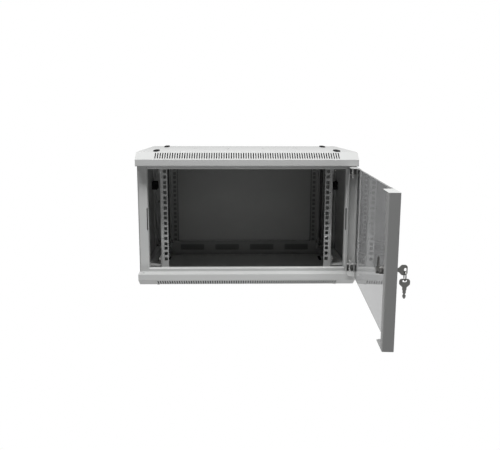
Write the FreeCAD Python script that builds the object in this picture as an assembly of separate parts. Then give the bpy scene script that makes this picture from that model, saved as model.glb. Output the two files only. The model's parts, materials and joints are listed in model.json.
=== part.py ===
"""Wall mount network cabinet: a 6-unit, 19-inch rack cabinet with a glazed door.

The origin is the centre of the wall fixing pattern, on the plane of the wall.
+X points to the viewer's right, -Y points out of the wall to the front, +Z is up.
The cabinet is symmetric about Z = 0, and its door stands open.
"""
import FreeCAD, Part
import math
import os

V = FreeCAD.Vector

# ---------------------------------------------------------------- outer size
WIDTH = 600.0
DEPTH = 400.0
OPENING_HEIGHT = 296.0        # clear height between the two front lips
LIP_HEIGHT = 18.5             # upright front band of roof and bottom
SLOPE_RISE = 18.5             # slatted slope above and below the bands
SLOPE_RUN = 28.0
PANEL_SHEET = 1.2
SIDE_SHEET = 1.0
BEND = 1.0                    # inside radius of every sheet metal bend
SEAT = 0.3                    # gap between parts that only rest together
THROUGH = 5.0                 # hole cutters run this far past the sheet on both sides

# ---------------------------------------------------------------- roof and bottom
SIDE_FLANGE = 20.0            # skirt along both sides and the rear
SLOT_WIDTH = 3.0
SLOT_FROM_BEND = 4.0          # slot ends from the two bends of the slope
SLOT_PITCH = 6.59
SLOT_FROM_SIDE = 51.5         # first and last air slot from the sides
FAN_HOLE_RADIUS = 53.0        # knock-out for a 120 mm fan
FAN_SPACING = 208.0           # between the centres of the two knock-outs
FAN_DEPTH = 226.0             # from the front plane
FAN_SCREW_PITCH = 105.0
FAN_SCREW_RADIUS = 2.2
KNOCKOUT_CUT = 1.2            # width of the cut round a knock-out
KNOCKOUT_WEB = 6.0            # metal left standing between the cuts
PLUG_WIDTH = 13.0
PLUG_LENGTH = 56.0
PLUG_HEIGHT = 4.0
PLUG_BEVEL = 1.3
PLUG_STEM_WIDTH = 7.0
PLUG_STEM_LENGTH = 46.0
PLUG_STEM_DEPTH = 4.0
PLUG_FROM_SIDE = 50.0
PLUG_FROM_FRONT = 66.0
PLUG_FROM_REAR = 66.0

# ---------------------------------------------------------------- frame
FRAME_SHEET = 1.5
FRAME_SETBACK = 28.0          # front frame face behind the front plane
POST_FACE = 25.0
POST_SIDE_LEG = 30.0
POST_RETURN = 22.0
FRONT_BAR_SHOW = 9.5          # front bars stand this far into the opening
FRONT_BAR_LEG = 15.0
CAM_NOTCH_HEIGHT = 62.0
CAM_NOTCH_FACE = 3.3
CAM_NOTCH_RETURN = 8.0
REAR_POST_FACE = 36.0
REAR_POST_SIDE_LEG = 58.0
REAR_POST_RETURN = 20.0
REAR_BAR_HEIGHT = 40.0
REAR_BAR_LEG = 14.0
REAR_BAR_FROM_EDGE = 10.0     # from the bottom skin's outer face to the bar
CABLE_SLOT_WIDTH = 80.0
CABLE_SLOT_HEIGHT = 19.0
CABLE_SLOT_PITCH = 118.0
CABLE_SLOT_COUNT = 4
CABLE_COVER_BORDER = 6.0
CABLE_COVER_SHEET = 1.0
SIDE_BAR_WIDTH = 15.5

# ---------------------------------------------------------------- wall fixing
WALL_HOLE_RADIUS = 4.5
WALL_HOLE_FROM_SIDE = 20.0
WALL_HOLE_FROM_BAND = 28.0     # below the upper band, above the lower one
BACK_SCREW_RADIUS = 2.0
BACK_SCREW_HEAD_RADIUS = 4.0
BACK_SCREW_HEAD = 2.2
BACK_SCREW_FROM_CORNER = 12.0
BACK_SCREW_FROM_BAND = 11.0

# ---------------------------------------------------------------- 19-inch rails
UNITS = 6
UNIT = 44.45
UNIT_HOLES = (6.35, 22.225, 38.1)
RAIL_CLEAR_WIDTH = 450.0
RAIL_HOLE_FROM_EDGE = 7.55    # hole centres from the rail's inner edge
RAIL_HOLE = 9.5
RAIL_SHEET = 2.0
RAIL_FACE = 22.0
RAIL_LEG = 30.0
RAIL_BEYOND_OPENING = 10.0    # rails run on above and below the opening
FRONT_RAIL_DEPTH = 91.4       # rail face behind the front plane
REAR_RAIL_FROM_BACK = 20.0
BRACKET_SHEET = 2.0
BRACKET_UPRIGHT = 30.0
BRACKET_LENGTH = 26.0
BRACKET_HOLE_RADIUS = 3.3
BRACKET_HOLE_HEIGHT = 17.0
BOLT_RADIUS = 3.0
BOLT_HEAD_ACROSS = 10.0
BOLT_HEAD = 4.0
NUT_HEIGHT = 5.0

# ---------------------------------------------------------------- side panels
SIDE_TURN_IN = 8.0            # width of the side panel's turned-in edges
LATCH_HEIGHT = 63.0           # latch centre above the cabinet's middle
LATCH_BODY_HEIGHT = 25.0
LATCH_BODY_THICK = 17.0
LATCH_WALL = 2.5
LATCH_CORNER = 2.0
LATCH_BEVEL = 1.0
LATCH_POCKET_HEIGHT = 18.0
LATCH_SLIDE_LENGTH = 20.0
LATCH_TRAVEL = 10.0
LATCH_SPRING_ROOM = 6.0       # the slide's spring when fully pressed
LATCH_NOSE_HEIGHT = 10.0
LATCH_NOSE_THICK = 5.0
LATCH_NOSE_REACH = 9.0
LATCH_RIB_COUNT = 3
LATCH_RIB = 2.0
LATCH_RIB_PITCH = 5.0
LATCH_RIB_INSET = 1.0         # ribs stop short of the slide's upper and lower ends

# ---------------------------------------------------------------- door
DOOR_REST_ANGLE = 85.66       # how far the door stands open
DOOR_GAP = 2.0                # above and below the door, and at its free edge
DOOR_SHEET = 1.2
DOOR_THICK = 22.0
HINGE_FROM_SIDE = 13.0        # hinge axis inside the cabinet's side
HINGE_DEPTH = 13.0            # hinge axis behind the front plane
HINGE_END = 9.5               # door material beyond the hinge axis
FREE_EDGE_FROM_SIDE = 3.0     # closed door's free edge inside the cabinet's side
STILE_WIDTH = 90.0
STILE_LIP = 17.0
STILE_CAP_OUTER = 70.0
STILE_CAP_INNER = 60.0
GLASS_THICK = 4.0
GLASS_OVERLAP = 18.0
TAPE_THICK = 1.0
TAPE_WIDTH = 14.0
TAPE_FROM_END = 4.0           # tape ends inside the pane's ends

# ---------------------------------------------------------------- hinge pins
PIN_RADIUS = 3.0
PIN_CLEARANCE = 0.06
PIN_REACH = 8.0               # pin end beyond the hole's near face
GUIDE_FROM_CAP = 19.0         # guide plate below the inside of the stile's cap
GUIDE_PLATE = 2.0
GUIDE_LEG = 10.0
PIN_TAIL = 6.0                # lever's centre line beyond the guide plate
COLLAR_RADIUS = 4.6
COLLAR_THICK = 2.5
PIN_BEVEL = 1.0
LEVER_RADIUS = 1.5
LEVER_REACH = 15.0
SPRING_WIRE = 0.8
SPRING_RADIUS = 4.0
SPRING_TURNS = 4.0
SPRING_STEPS = 14             # straight runs in one turn
SPRING_SIDES = 5

# ---------------------------------------------------------------- lock and keys
LOCK_FROM_EDGE = 33.0
LOCK_RADIUS = 8.0
LOCK_FLANGE_RADIUS = 10.5
LOCK_FLANGE = 2.5
LOCK_FLANGE_BEVEL = 1.25
LOCK_NUT_ACROSS = 21.0
LOCK_NUT = 4.0
ROTOR_RADIUS = 5.5
ROTOR_CLEARANCE = 0.05
ROTOR_SHOW = 0.5              # rotor stands this far out of the flange
ROTOR_SQUARE = 6.6            # square end that drives the cam
ROTOR_STUD_RADIUS = 3.0
CAM_THICK = 2.0
CAM_WIDTH = 13.0
CAM_HUB_CORNER = 5.8
CAM_SHOULDER_CORNER = 4.0
CAM_TIP_WIDTH = 8.4
CAM_TIP_CORNER = 3.8
CAM_REACH = 25.0
CAM_CLEARANCE = 0.5           # cam behind the post face when locked
CAM_NUT_ACROSS = 12.0
CAM_NUT = 3.5
KEY_THICK = 2.0
KEY_CLEARANCE = 0.15
KEY_BLADE_WIDTH = 5.8
KEY_BLADE_LENGTH = 16.5
KEY_TIP_WIDTH = 2.4
KEY_TIP_TAPER = 3.5
KEY_WAIST = 1.4               # depth of the cuts in both edges of the blade
KEY_WAIST_RADIUS = 2.0
KEY_WAIST_FROM_SHOULDER = 8.0
KEY_TIP_CORNER = 2.0
KEY_NECK_WIDTH = 7.6
KEY_NECK = 5.0
KEY_NECK_CORNER = 2.0
KEY_TAPER = 5.5               # from the neck to the bow's full width
KEY_BOW_WIDTH = 19.5
KEY_BOW_LENGTH = 10.5
KEY_BOW_CORNER = 5.0
KEY_BOW_INNER_CORNER = 4.0
KEY_HOLE_WIDTH = 4.6
KEY_HOLE_LENGTH = 8.4
KEY_HOLE_FROM_END = 1.8       # metal between the hole and the end of the bow
RING_WIRE = 1.8               # side of the square wire
RING_RADIUS = 8.7             # to the middle of the wire

# ---------------------------------------------------------------- derived places
HALF_WIDTH = WIDTH / 2
HALF_HEIGHT = OPENING_HEIGHT / 2 + LIP_HEIGHT + SLOPE_RISE
LIP_Z = OPENING_HEIGHT / 2
LIP_END_Z = LIP_Z + LIP_HEIGHT
RAIL_END_Z = LIP_Z + RAIL_BEYOND_OPENING
FRAME_TOP = HALF_HEIGHT - PANEL_SHEET - BEND
SIDE_OUTER = HALF_WIDTH - PANEL_SHEET / 2 - SEAT / 2
SIDE_INNER = SIDE_OUTER - SIDE_SHEET
POST_INNER = SIDE_INNER - POST_FACE
REAR_PLANE = DEPTH - PANEL_SHEET
REAR_RAIL_DEPTH = DEPTH - REAR_RAIL_FROM_BACK
REAR_POST_INNER = SIDE_INNER - REAR_POST_FACE
RAIL_INNER = RAIL_CLEAR_WIDTH / 2
RAIL_OUTER = RAIL_INNER + RAIL_FACE
RAIL_HOLES_X = RAIL_INNER + RAIL_HOLE_FROM_EDGE
LATCH_END = REAR_PLANE - REAR_POST_SIDE_LEG - 2 * SEAT
LATCH_BODY_LENGTH = LATCH_SLIDE_LENGTH + LATCH_TRAVEL + LATCH_SPRING_ROOM + 2 * LATCH_WALL

HINGE_SIDE = HALF_WIDTH - HINGE_FROM_SIDE
FREE_EDGE = HALF_WIDTH - FREE_EDGE_FROM_SIDE
DOOR_OUTER = HINGE_DEPTH - DOOR_THICK / 2
DOOR_INNER = HINGE_DEPTH + DOOR_THICK / 2
DOOR_HALF_HEIGHT = LIP_Z - DOOR_GAP
HINGE_EDGE = HINGE_SIDE + HINGE_END
GLASS_FRONT = DOOR_OUTER + DOOR_SHEET + TAPE_THICK
LOCK_X = LOCK_FROM_EDGE - FREE_EDGE
CAM_DEPTH = FRAME_SETBACK + FRAME_SHEET + CAM_CLEARANCE


def y_of(depth):
    """Y of a place given by its distance behind the front plane."""
    return depth - DEPTH


# ---------------------------------------------------------------- shape helpers
def box(x_range, depth_range, z_range):
    """Block between two values along each direction."""
    size = [abs(r[1] - r[0]) for r in (x_range, depth_range, z_range)]
    corner = V(min(x_range), y_of(min(depth_range)), min(z_range))
    return Part.makeBox(size[0], size[1], size[2], corner)


def in_depth_and_height(depth, height):
    return V(0, y_of(depth), height)


def in_plan(x, depth):
    return V(x, y_of(depth), 0)


def rounded_wire(points, radii, place):
    """Closed outline with a tangent arc of its own radius at each corner."""
    flat = [V(a, b, 0) for a, b in points]
    count = len(flat)
    edges = []
    ends = []
    for i in range(count):
        here = flat[i]
        to_last = (flat[i - 1] - here).normalize()
        to_next = (flat[(i + 1) % count] - here).normalize()
        if radii[i] <= 0:
            ends.append((here, None, here))
            continue
        half_angle = to_last.getAngle(to_next) / 2
        along = radii[i] / math.tan(half_angle)
        middle = (to_last + to_next).normalize()
        centre = here + middle * (radii[i] / math.sin(half_angle))
        ends.append((here + to_last * along, centre - middle * radii[i], here + to_next * along))
    for i in range(count):
        start, mid, end = ends[i]
        if mid is not None:
            edges.append(Part.Arc(*[place(p.x, p.y) for p in (start, mid, end)]).toShape())
        following = ends[(i + 1) % count][0]
        if end.distanceToPoint(following) > 1e-6:
            edges.append(Part.LineSegment(place(end.x, end.y), place(following.x, following.y)).toShape())
    return Part.Wire(edges)


def offset_corners(path, distance):
    """Corners of an open path moved sideways by a distance, to its right when positive."""
    moved = []
    for i, (a, b) in enumerate(path):
        normals = []
        for j in (i - 1, i):
            if 0 <= j < len(path) - 1:
                run = V(path[j + 1][0] - path[j][0], path[j + 1][1] - path[j][1], 0).normalize()
                normals.append(V(run.y, -run.x, 0))
        middle = normals[0] if len(normals) == 1 else (normals[0] + normals[1]).normalize()
        scale = distance / middle.dot(normals[0])
        moved.append((a + middle.x * scale, b + middle.y * scale))
    return moved


def bent_sheet(path, sheet, place, direction):
    """Folded sheet: a path of its outer face, thickened to its right, and extruded."""
    inner = offset_corners(path, sheet)
    radii_outer = []
    radii_inner = []
    for i in range(len(path)):
        if i in (0, len(path) - 1):
            radii_outer.append(0)
            radii_inner.append(0)
            continue
        before = V(path[i][0] - path[i - 1][0], path[i][1] - path[i - 1][1], 0)
        after = V(path[i + 1][0] - path[i][0], path[i + 1][1] - path[i][1], 0)
        turns_right = before.x * after.y - before.y * after.x < 0
        radii_outer.append(BEND + sheet if turns_right else BEND)
        radii_inner.append(BEND if turns_right else BEND + sheet)
    outline = list(path) + inner[::-1]
    radii = radii_outer + radii_inner[::-1]
    return Part.Face(rounded_wire(outline, radii, place)).extrude(direction)


def cylinder(radius, start, direction, length):
    return Part.makeCylinder(radius, length, start, direction)


def drill(radius, place, direction):
    """Cutter for a round hole through the sheet at a place."""
    return cylinder(radius, place - direction * THROUGH, direction, 2 * THROUGH)


def hexagon(across, start, direction, height):
    """Hexagonal prism given by its width across flats."""
    radius = across / math.sqrt(3)
    side = direction.cross(V(0, 0, 1))
    if side.Length < 0.5:
        side = V(0, 1, 0)
    side.normalize()
    other = direction.cross(side).normalize()
    corners = []
    for k in range(7):
        angle = math.radians(60 * k)
        corners.append(start + side * (radius * math.cos(angle)) + other * (radius * math.sin(angle)))
    return Part.Face(Part.makePolygon(corners)).extrude(direction * height)


def mirrored_x(shape):
    return shape.mirror(V(0, 0, 0), V(1, 0, 0))


def mirrored_z(shape):
    return shape.mirror(V(0, 0, 0), V(0, 0, 1))


def oblong(width, length, place):
    """Outline with two straight sides and round ends, its long side along the second value."""
    corners = [(-width / 2, -length / 2), (width / 2, -length / 2),
               (width / 2, length / 2), (-width / 2, length / 2)]
    return rounded_wire(corners, [width / 2] * 4, place)


def upright_oblong(width, length, centre, z_range):
    """Oblong block between two heights, its long side along the depth."""
    wire = oblong(width, length, lambda a, b: V(centre[0] + a, y_of(centre[1] + b), z_range[0]))
    return Part.Face(wire).extrude(V(0, 0, z_range[1] - z_range[0]))


def save(name, shape):
    """Write one node; a node of several loose pieces is a group of solids."""
    if isinstance(shape, list):
        shape = Part.makeCompound(shape)
    shape.exportStep("parts/%s.step" % name)


# ---------------------------------------------------------------- roof and bottom
def plug_places():
    return [(sx * (HALF_WIDTH - PLUG_FROM_SIDE), depth)
            for sx in (-1, 1)
            for depth in (PLUG_FROM_FRONT, DEPTH - PLUG_FROM_REAR)]


def skin():
    """Upper skin: front band, slatted slope, flat top, rear and side skirts."""
    path = [(FRAME_SETBACK, LIP_Z), (0, LIP_Z), (0, LIP_END_Z), (SLOPE_RUN, HALF_HEIGHT),
            (DEPTH, HALF_HEIGHT), (DEPTH, HALF_HEIGHT - SIDE_FLANGE)]
    body = bent_sheet(path, PANEL_SHEET, in_depth_and_height, V(WIDTH, 0, 0))
    body.translate(V(-HALF_WIDTH, 0, 0))
    # The side skirts follow the same outline and close the ends of the band.
    skirt_front = FRAME_SETBACK - SEAT
    outline = [(0, LIP_Z), (0, LIP_END_Z), (SLOPE_RUN, HALF_HEIGHT), (DEPTH, HALF_HEIGHT),
               (DEPTH, HALF_HEIGHT - SIDE_FLANGE), (skirt_front, HALF_HEIGHT - SIDE_FLANGE),
               (skirt_front, LIP_Z)]
    outer_bend = BEND + PANEL_SHEET
    radii = [outer_bend, outer_bend, outer_bend, outer_bend, 0, 0, 0]
    skirt = Part.Face(rounded_wire(outline, radii, in_depth_and_height)).extrude(V(PANEL_SHEET, 0, 0))
    left = skirt.translated(V(-HALF_WIDTH, 0, 0))
    right = skirt.translated(V(HALF_WIDTH - PANEL_SHEET, 0, 0))
    return body.fuse([left, right]).removeSplitter()


def air_slots():
    """Cutters for the row of slots in the slope."""
    count = int((WIDTH - 2 * SLOT_FROM_SIDE) / SLOT_PITCH) + 1
    slope = math.hypot(SLOPE_RUN, SLOPE_RISE)
    tilt = math.degrees(math.atan2(SLOPE_RISE, SLOPE_RUN))
    cutters = []
    for i in range(count):
        x = (i - (count - 1) / 2) * SLOT_PITCH
        cutter = Part.makeBox(SLOT_WIDTH, slope - 2 * SLOT_FROM_BEND, 2 * THROUGH,
                              V(x - SLOT_WIDTH / 2, SLOT_FROM_BEND, -THROUGH))
        cutter.rotate(V(0, 0, 0), V(1, 0, 0), tilt)
        cutter.translate(V(0, y_of(0), LIP_END_Z))
        cutters.append(cutter)
    return cutters


def hinge_holes():
    """The door can hang on either side, so both ends of the flange have a pin hole."""
    return [drill(PIN_RADIUS + PIN_CLEARANCE, V(sx * HINGE_SIDE, y_of(HINGE_DEPTH), LIP_Z), V(0, 0, 1))
            for sx in (-1, 1)]


def plug_slots():
    return [upright_oblong(PLUG_STEM_WIDTH + 2 * SEAT, PLUG_STEM_LENGTH + 2 * SEAT, place,
                           (HALF_HEIGHT - THROUGH, HALF_HEIGHT + THROUGH)) for place in plug_places()]


def fan_cuts():
    """Ring cuts broken by four webs, and four screw holes, for each fan knock-out."""
    cutters = []
    up = V(0, 0, 1)
    for sx in (-1, 1):
        centre = V(sx * FAN_SPACING / 2, y_of(FAN_DEPTH), HALF_HEIGHT)
        ring = drill(FAN_HOLE_RADIUS, centre, up).cut(drill(FAN_HOLE_RADIUS - KNOCKOUT_CUT, centre, up))
        reach = FAN_HOLE_RADIUS + THROUGH
        for turn in (45, 135):
            web = Part.makeBox(2 * reach, KNOCKOUT_WEB, 2 * THROUGH,
                               centre + V(-reach, -KNOCKOUT_WEB / 2, -THROUGH))
            web.rotate(centre, up, turn)
            ring = ring.cut(web)
        cutters.extend(ring.Solids)
        for dx in (-1, 1):
            for dy in (-1, 1):
                screw = centre + V(dx * FAN_SCREW_PITCH / 2, dy * FAN_SCREW_PITCH / 2, 0)
                cutters.append(drill(FAN_SCREW_RADIUS, screw, up))
    return cutters


def plugs():
    """Black oblong plugs that close the foot slots, cap outside and stem through the sheet."""
    group = []
    for place in plug_places():
        top = HALF_HEIGHT + PLUG_HEIGHT
        cap = upright_oblong(PLUG_WIDTH, PLUG_LENGTH, place, (HALF_HEIGHT, top))
        rim = [edge for edge in cap.Edges if edge.BoundBox.ZMin > top - PLUG_BEVEL]
        cap = cap.makeChamfer(PLUG_BEVEL, rim)
        stem = upright_oblong(PLUG_STEM_WIDTH, PLUG_STEM_LENGTH, place,
                              (HALF_HEIGHT - PLUG_STEM_DEPTH, HALF_HEIGHT))
        group.append(cap.fuse(stem).removeSplitter())
    return group


# ---------------------------------------------------------------- frame
def front_post():
    """Left front post, a U of sheet, notched at mid height for the lock's cam."""
    path = [(-SIDE_INNER, FRAME_SETBACK + POST_SIDE_LEG), (-SIDE_INNER, FRAME_SETBACK),
            (-POST_INNER, FRAME_SETBACK), (-POST_INNER, FRAME_SETBACK + POST_RETURN)]
    post = bent_sheet([(x, -d) for x, d in path], FRAME_SHEET, lambda x, d: in_plan(x, -d),
                      V(0, 0, 2 * FRAME_TOP))
    post.translate(V(0, 0, -FRAME_TOP))
    notch = box((-POST_INNER - CAM_NOTCH_FACE, -POST_INNER + THROUGH),
                (FRAME_SETBACK - THROUGH, FRAME_SETBACK + CAM_NOTCH_RETURN),
                (-CAM_NOTCH_HEIGHT / 2, CAM_NOTCH_HEIGHT / 2))
    return post.cut(notch)


def front_bar():
    """Upper front bar, a C of sheet between the posts."""
    low = LIP_Z - FRONT_BAR_SHOW
    path = [(FRAME_SETBACK + FRONT_BAR_LEG, low), (FRAME_SETBACK, low),
            (FRAME_SETBACK, FRAME_TOP), (FRAME_SETBACK + FRONT_BAR_LEG, FRAME_TOP)]
    bar = bent_sheet(path, FRAME_SHEET, in_depth_and_height, V(2 * POST_INNER, 0, 0))
    return bar.translated(V(-POST_INNER, 0, 0))


def wall_hole(x_side, z_side):
    x = x_side * (HALF_WIDTH - WALL_HOLE_FROM_SIDE)
    z = z_side * (LIP_Z - WALL_HOLE_FROM_BAND)
    return drill(WALL_HOLE_RADIUS, V(x, y_of(DEPTH), z), V(0, 1, 0))


def back_screw_places():
    """Three screws up each side."""
    return [(sx * (SIDE_INNER - BACK_SCREW_FROM_CORNER), row * (LIP_Z - BACK_SCREW_FROM_BAND))
            for sx in (-1, 1) for row in (-1, 0, 1)]


def rear_post():
    """Left rear post, a U of sheet whose back face takes the wall bolts."""
    path = [(-SIDE_INNER, REAR_PLANE - REAR_POST_SIDE_LEG), (-SIDE_INNER, REAR_PLANE),
            (-REAR_POST_INNER, REAR_PLANE), (-REAR_POST_INNER, REAR_PLANE - REAR_POST_RETURN)]
    post = bent_sheet(path, FRAME_SHEET, in_plan, V(0, 0, 2 * FRAME_TOP))
    post.translate(V(0, 0, -FRAME_TOP))
    cutters = [wall_hole(-1, 1), wall_hole(-1, -1)]
    for x, z in back_screw_places():
        if x < 0:
            cutters.append(drill(BACK_SCREW_RADIUS, V(x, y_of(DEPTH), z), V(0, 1, 0)))
    return post.cut(cutters)


def cable_slot_places():
    middle = (CABLE_SLOT_COUNT - 1) / 2
    return [(k - middle) * CABLE_SLOT_PITCH for k in range(CABLE_SLOT_COUNT)]


def rear_bar_z():
    """Lowest and highest height of the upper rear bar."""
    top = HALF_HEIGHT - REAR_BAR_FROM_EDGE
    return top - REAR_BAR_HEIGHT, top


def cable_cutters(depth_range, width, height):
    low, high = rear_bar_z()
    middle = (low + high) / 2
    return [box((x - width / 2, x + width / 2), depth_range, (middle - height / 2, middle + height / 2))
            for x in cable_slot_places()]


def rear_bar():
    """Upper rear bar, a C of sheet with four cable openings."""
    low, high = rear_bar_z()
    front = REAR_PLANE - REAR_BAR_LEG
    path = [(REAR_PLANE - CABLE_COVER_SHEET, low), (front, low), (front, high),
            (REAR_PLANE - CABLE_COVER_SHEET, high)]
    bar = bent_sheet(path, FRAME_SHEET, in_depth_and_height, V(2 * REAR_POST_INNER, 0, 0))
    bar.translate(V(-REAR_POST_INNER, 0, 0))
    return bar.cut(cable_cutters((front - THROUGH, front + THROUGH), CABLE_SLOT_WIDTH, CABLE_SLOT_HEIGHT))


def cable_covers():
    """Plates that close the cable openings of the back panel from inside."""
    return cable_cutters((REAR_PLANE - CABLE_COVER_SHEET, REAR_PLANE),
                         CABLE_SLOT_WIDTH + 2 * CABLE_COVER_BORDER,
                         CABLE_SLOT_HEIGHT + 2 * CABLE_COVER_BORDER)


def side_bar():
    """Upper left bar from front to rear post, an angle that carries the rails."""
    outer = SIDE_INNER - FRAME_SHEET - SEAT
    inner = SIDE_INNER - FRAME_SHEET - SIDE_BAR_WIDTH
    path = [(-outer, LIP_Z), (-inner, LIP_Z), (-inner, FRAME_TOP)]
    front = FRAME_SETBACK + FRAME_SHEET + SEAT
    rear = REAR_PLANE - FRAME_SHEET - SEAT
    bar = bent_sheet([(x, -z) for x, z in path], FRAME_SHEET,
                     lambda x, z: V(x, y_of(front), -z), V(0, rear - front, 0))
    return bar.cut([drill(BRACKET_HOLE_RADIUS, V(-foot_bolt_x(), y_of(depth), LIP_Z), V(0, 0, 1))
                    for depth in rail_bolt_depths()])


def back_panel():
    """Flat back sheet with wall holes, screw holes and cable openings."""
    half_z = HALF_HEIGHT - SIDE_FLANGE - SEAT
    sheet = box((-SIDE_OUTER, SIDE_OUTER), (REAR_PLANE, DEPTH), (-half_z, half_z))
    through = (REAR_PLANE - THROUGH, DEPTH + THROUGH)
    cutters = [wall_hole(sx, sz) for sx in (-1, 1) for sz in (-1, 1)]
    cutters += cable_cutters(through, CABLE_SLOT_WIDTH, CABLE_SLOT_HEIGHT)
    cutters += [mirrored_z(cut) for cut in cable_cutters(through, CABLE_SLOT_WIDTH, CABLE_SLOT_HEIGHT)]
    for x, z in back_screw_places():
        cutters.append(drill(BACK_SCREW_RADIUS, V(x, y_of(DEPTH), z), V(0, 1, 0)))
    return sheet.cut(cutters)


def back_screws():
    """Pan head screws from inside, through the rear posts into the back panel."""
    inside = REAR_PLANE - FRAME_SHEET
    group = []
    for x, z in back_screw_places():
        seat = V(x, y_of(inside), z)
        head = cylinder(BACK_SCREW_HEAD_RADIUS, seat, V(0, -1, 0), BACK_SCREW_HEAD)
        shank = cylinder(BACK_SCREW_RADIUS, seat, V(0, 1, 0), FRAME_SHEET + PANEL_SHEET)
        group.append(head.fuse(shank).removeSplitter())
    return group


# ---------------------------------------------------------------- rails
def rail_hole_heights():
    bottom = -UNITS * UNIT / 2
    return [bottom + k * UNIT + place for k in range(UNITS) for place in UNIT_HOLES]


def rail(face_depth, leg_sign):
    """Left rail: a square-holed face and a leg that points away from the nearer door or wall."""
    path = [(-RAIL_INNER, face_depth), (-RAIL_OUTER, face_depth),
            (-RAIL_OUTER, face_depth + leg_sign * RAIL_LEG)]
    if leg_sign > 0:
        sheet = bent_sheet([(x, -d) for x, d in path[::-1]], RAIL_SHEET, lambda x, d: in_plan(x, -d),
                           V(0, 0, 2 * RAIL_END_Z))
    else:
        sheet = bent_sheet(path[::-1], RAIL_SHEET, in_plan, V(0, 0, 2 * RAIL_END_Z))
    sheet.translate(V(0, 0, -RAIL_END_Z))
    half = RAIL_HOLE / 2
    cutters = []
    for z in rail_hole_heights():
        cutters.append(box((-RAIL_HOLES_X - half, -RAIL_HOLES_X + half),
                           (face_depth - THROUGH, face_depth + THROUGH), (z - half, z + half)))
    middle = face_depth + leg_sign * RAIL_LEG / 2
    for sz in (-1, 1):
        bolt_place = V(-RAIL_OUTER, y_of(middle), sz * rail_bolt_z())
        cutters.append(drill(BRACKET_HOLE_RADIUS, bolt_place, V(1, 0, 0)))
    return sheet.cut(cutters)


def rail_bolt_z():
    return LIP_Z - BRACKET_HOLE_HEIGHT


def rail_bolt_depths():
    return [FRONT_RAIL_DEPTH + RAIL_LEG / 2, REAR_RAIL_DEPTH - RAIL_LEG / 2]


def foot_bolt_x():
    return SIDE_INNER - FRAME_SHEET - SIDE_BAR_WIDTH / 2


def rail_bracket(depth):
    """Lower left bracket: a foot on the side bar and an upright against the rail's leg."""
    reach = foot_bolt_x() + BOLT_HEAD_ACROSS / 2
    path = [(-RAIL_OUTER, -LIP_Z + BRACKET_UPRIGHT), (-RAIL_OUTER, -LIP_Z), (-reach, -LIP_Z)]
    front = depth - BRACKET_LENGTH / 2
    sheet = bent_sheet(path, BRACKET_SHEET, lambda x, z: V(x, y_of(front), z),
                       V(0, BRACKET_LENGTH, 0))
    cutters = [drill(BRACKET_HOLE_RADIUS, V(-RAIL_OUTER, y_of(depth), -rail_bolt_z()), V(1, 0, 0)),
               drill(BRACKET_HOLE_RADIUS, V(-foot_bolt_x(), y_of(depth), -LIP_Z), V(0, 0, 1))]
    return sheet.cut(cutters)


def bolt(start, direction, grip):
    """Hexagon bolt: head behind the start, shank through the grip, nut beyond it."""
    shank = cylinder(BOLT_RADIUS, start, direction, grip + NUT_HEIGHT)
    head = hexagon(BOLT_HEAD_ACROSS, start - direction * BOLT_HEAD, direction, BOLT_HEAD)
    nut = hexagon(BOLT_HEAD_ACROSS, start + direction * grip, direction, NUT_HEIGHT)
    return shank.fuse([head, nut]).removeSplitter()


def rail_bolts():
    group = []
    for depth in rail_bolt_depths():
        for sx in (-1, 1):
            for sz in (-1, 1):
                start = V(sx * (RAIL_OUTER - RAIL_SHEET), y_of(depth), sz * rail_bolt_z())
                group.append(bolt(start, V(sx, 0, 0), RAIL_SHEET + BRACKET_SHEET))
    return group


def foot_bolts():
    group = []
    for depth in rail_bolt_depths():
        for sx in (-1, 1):
            for sz in (-1, 1):
                start = V(sx * foot_bolt_x(), y_of(depth), sz * (LIP_Z - BRACKET_SHEET))
                group.append(bolt(start, V(0, 0, sz), BRACKET_SHEET + FRAME_SHEET))
    return group


# ---------------------------------------------------------------- side panels
def latch_pocket():
    """Space of the left latch's slide inside its body, open through the side panel."""
    half = LATCH_POCKET_HEIGHT / 2
    return box((-SIDE_OUTER - THROUGH, -SIDE_INNER + LATCH_BODY_THICK - LATCH_WALL),
               (LATCH_END - LATCH_BODY_LENGTH + LATCH_WALL, LATCH_END - LATCH_WALL),
               (LATCH_HEIGHT - half, LATCH_HEIGHT + half))


def side_panel():
    """Left side sheet with turned-in edges and a finger window at the latch."""
    half_z = HALF_HEIGHT - SIDE_FLANGE - SEAT
    turned_in = -SIDE_OUTER + SIDE_TURN_IN
    path = [(turned_in, -half_z), (-SIDE_OUTER, -half_z), (-SIDE_OUTER, half_z), (turned_in, half_z)]
    front = FRAME_SETBACK
    sheet = bent_sheet(path, SIDE_SHEET, lambda x, z: V(x, y_of(front), z),
                       V(0, REAR_PLANE - front, 0))
    # The turned-in edges stop clear of the posts.
    for sz in (-1, 1):
        for reach in ((front - THROUGH, front + POST_SIDE_LEG + SEAT),
                      (REAR_PLANE - REAR_POST_SIDE_LEG - SEAT, REAR_PLANE + THROUGH)):
            sheet = sheet.cut(box((-SIDE_INNER, turned_in + THROUGH), reach,
                                  (sz * (half_z + THROUGH), sz * (half_z - THROUGH))))
    return sheet.cut(latch_pocket())


def nose_box(clearance, reach):
    """Nose of the latch slide, which passes the body's end wall, or its hole there."""
    near = -SIDE_INNER + FRAME_SHEET + SEAT
    half = LATCH_NOSE_HEIGHT / 2
    return box((near - clearance, near + LATCH_NOSE_THICK + clearance),
               (LATCH_END - LATCH_WALL - SEAT, LATCH_END + reach),
               (LATCH_HEIGHT - half - clearance, LATCH_HEIGHT + half + clearance))


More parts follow.
